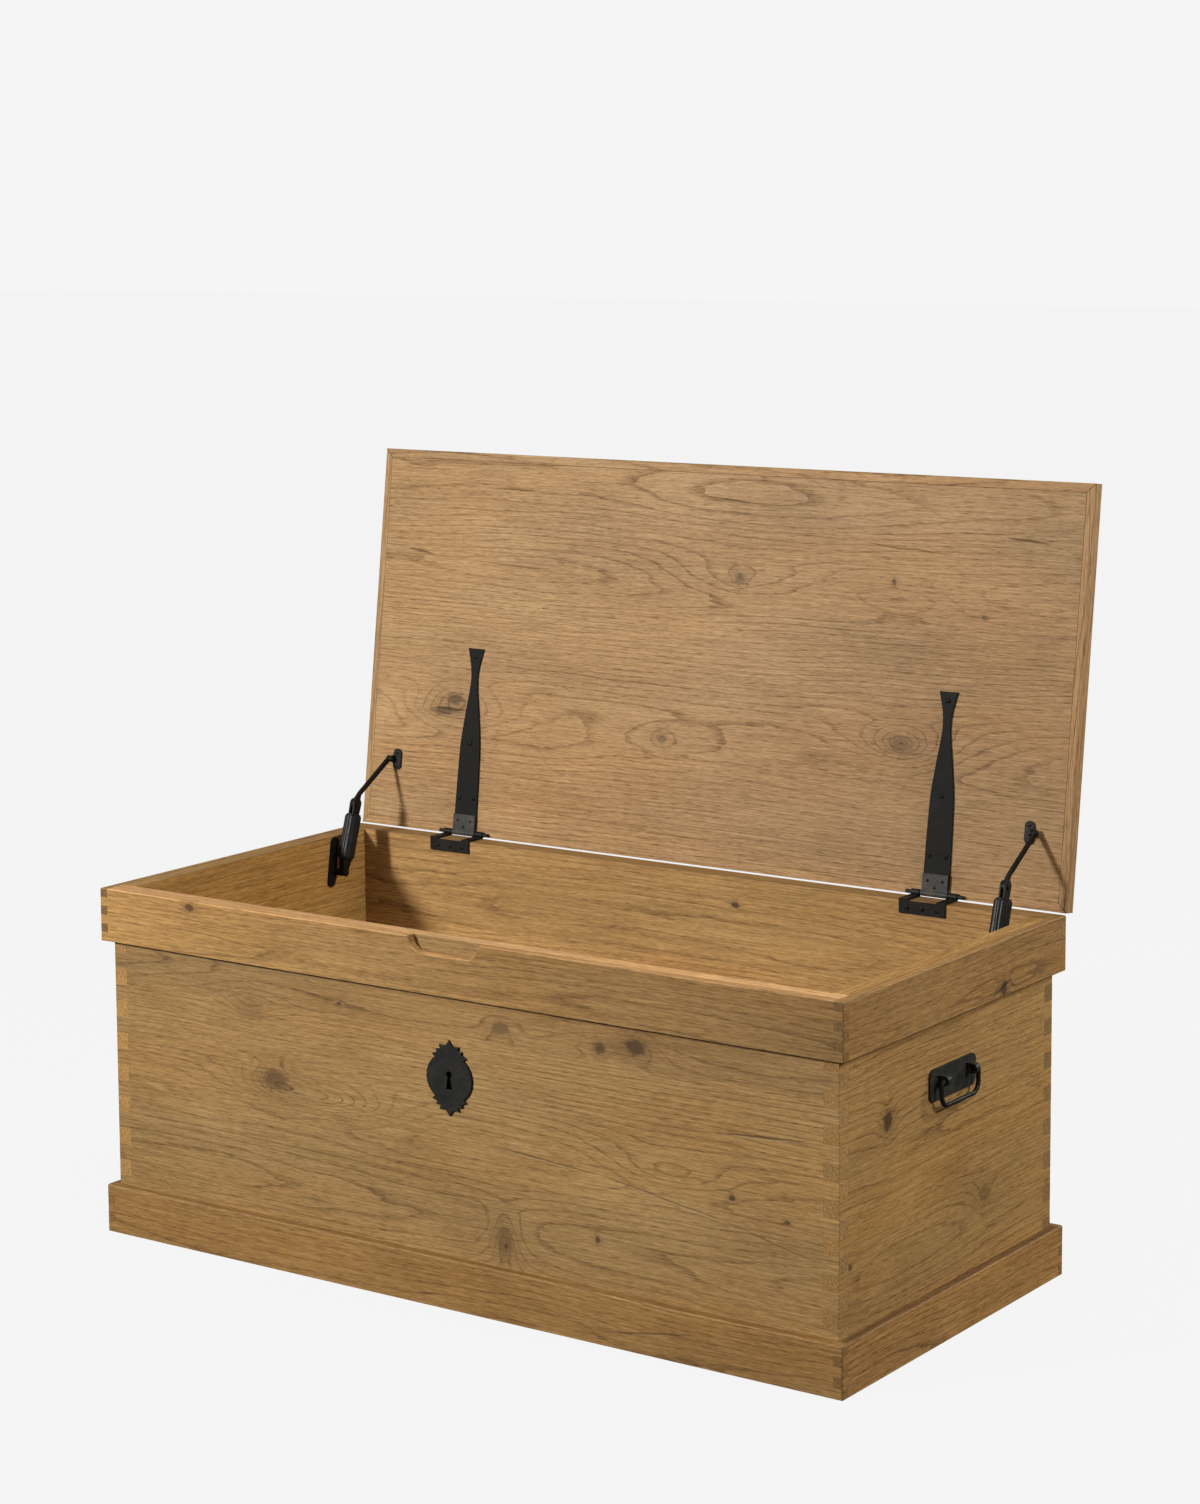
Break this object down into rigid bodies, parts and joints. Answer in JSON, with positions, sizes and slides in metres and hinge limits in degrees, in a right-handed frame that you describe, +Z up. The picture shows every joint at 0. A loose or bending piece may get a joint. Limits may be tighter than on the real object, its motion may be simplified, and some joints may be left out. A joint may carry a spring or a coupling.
{
  "type": "blanket chest",
  "caption": "Oak blanket chest with a hinged lid standing open, black iron strap hinges, folding lid stays and end handles.",
  "frame": {"origin": "on the floor, under the middle of the bounding box with the lid open", "axes": "+X to the right when facing the chest's front, +Y towards the lid's hinges, +Z up"},
  "size_m": [1.112, 0.6148, 0.9712],
  "materials": {
    "oak": "satin oiled oak",
    "pale_oak": "matt sanded oak",
    "black_iron": "matt black wrought iron",
    "screw_steel": "blackened steel",
    "damper": "dark grey satin paint"
  },
  "bodies": {
    "chest": {"front_board": "oak", "back_board": "oak", "left_end_board": "oak", "right_end_board": "oak", "bottom_board": "pale_oak", "collar_front": "oak", "collar_back": "oak", "collar_left": "oak", "collar_right": "oak", "plinth_front": "oak", "plinth_back": "oak", "plinth_left": "oak", "plinth_right": "oak", "keyhole_escutcheon": "black_iron", "hinge_leaf_left": "black_iron", "hinge_pin_left": "black_iron", "hinge_leaf_screw_left_1": "screw_steel", "hinge_leaf_screw_left_2": "screw_steel", "hinge_leaf_screw_left_3": "screw_steel", "stay_base_plate_left": "black_iron", "stay_pivot_stud_left": "black_iron", "handle_plate_left": "black_iron", "hinge_leaf_right": "black_iron", "hinge_pin_right": "black_iron", "hinge_leaf_screw_right_1": "screw_steel", "hinge_leaf_screw_right_2": "screw_steel", "hinge_leaf_screw_right_3": "screw_steel", "stay_base_plate_right": "black_iron", "stay_pivot_stud_right": "black_iron", "handle_plate_right": "black_iron"},
    "lid": {"lid_board": "oak", "lid_lipping_front": "oak", "lid_lipping_back": "oak", "lid_lipping_left": "oak", "lid_lipping_right": "oak", "hinge_root_plate_left": "black_iron", "hinge_strap_left": "black_iron", "stay_lid_bracket_left": "black_iron", "hinge_strap_left_screw_1": "screw_steel", "hinge_strap_left_screw_2": "screw_steel", "hinge_strap_left_screw_3": "screw_steel", "hinge_strap_left_screw_4": "screw_steel", "hinge_root_plate_right": "black_iron", "hinge_strap_right": "black_iron", "stay_lid_bracket_right": "black_iron", "hinge_strap_right_screw_1": "screw_steel", "hinge_strap_right_screw_2": "screw_steel", "hinge_strap_right_screw_3": "screw_steel", "hinge_strap_right_screw_4": "screw_steel"},
    "damper_left": {"stay_damper_foot_left": "black_iron", "stay_damper_sleeve_left": "damper", "stay_damper_head_left": "black_iron"},
    "stay_arm_left": {"stay_rod_left": "black_iron"},
    "bail_left": {"handle_bail_left": "black_iron"},
    "damper_right": {"stay_damper_foot_right": "black_iron", "stay_damper_sleeve_right": "damper", "stay_damper_head_right": "black_iron"},
    "stay_arm_right": {"stay_rod_right": "black_iron"},
    "bail_right": {"handle_bail_right": "black_iron"}
  },
  "joints": [
    {"name": "lid_hinge", "type": "hinge", "parent": "chest", "child": "lid", "pos_m": [0, 0.2198, 0.4548], "axis": [1, 0, 0], "range_deg": [0, 98]},
    {"name": "stay_damper_pivot_left", "type": "hinge", "parent": "chest", "child": "damper_left", "pos_m": [-0.503, 0.123, 0.401], "axis": [1, 0, 0], "range_deg": [0, 80.5]},
    {"name": "stay_arm_pivot_left", "type": "hinge", "parent": "lid", "child": "stay_arm_left", "pos_m": [-0.4978, 0.22727, 0.54458], "axis": [1, 0, 0], "range_deg": [-130, 0]},
    {"name": "handle_swing_left", "type": "hinge", "parent": "chest", "child": "bail_left", "pos_m": [-0.55, -0.043, 0.311], "axis": [0, 1, 0], "range_deg": [-12, 100]},
    {"name": "stay_damper_pivot_right", "type": "hinge", "parent": "chest", "child": "damper_right", "pos_m": [0.503, 0.123, 0.401], "axis": [1, 0, 0], "range_deg": [0, 80.5]},
    {"name": "stay_arm_pivot_right", "type": "hinge", "parent": "lid", "child": "stay_arm_right", "pos_m": [0.4978, 0.22727, 0.54458], "axis": [1, 0, 0], "range_deg": [-130, 0]},
    {"name": "handle_swing_right", "type": "hinge", "parent": "chest", "child": "bail_right", "pos_m": [0.55, -0.043, 0.311], "axis": [0, -1, 0], "range_deg": [-12, 100]}
  ],
  "couplings": [
    {"joint": "stay_damper_pivot_left", "follows": "lid_hinge", "ratio": 0.81964},
    {"joint": "stay_arm_pivot_left", "follows": "lid_hinge", "ratio": -1.3258},
    {"joint": "stay_damper_pivot_right", "follows": "lid_hinge", "ratio": 0.81964},
    {"joint": "stay_arm_pivot_right", "follows": "lid_hinge", "ratio": -1.3258}
  ]
}
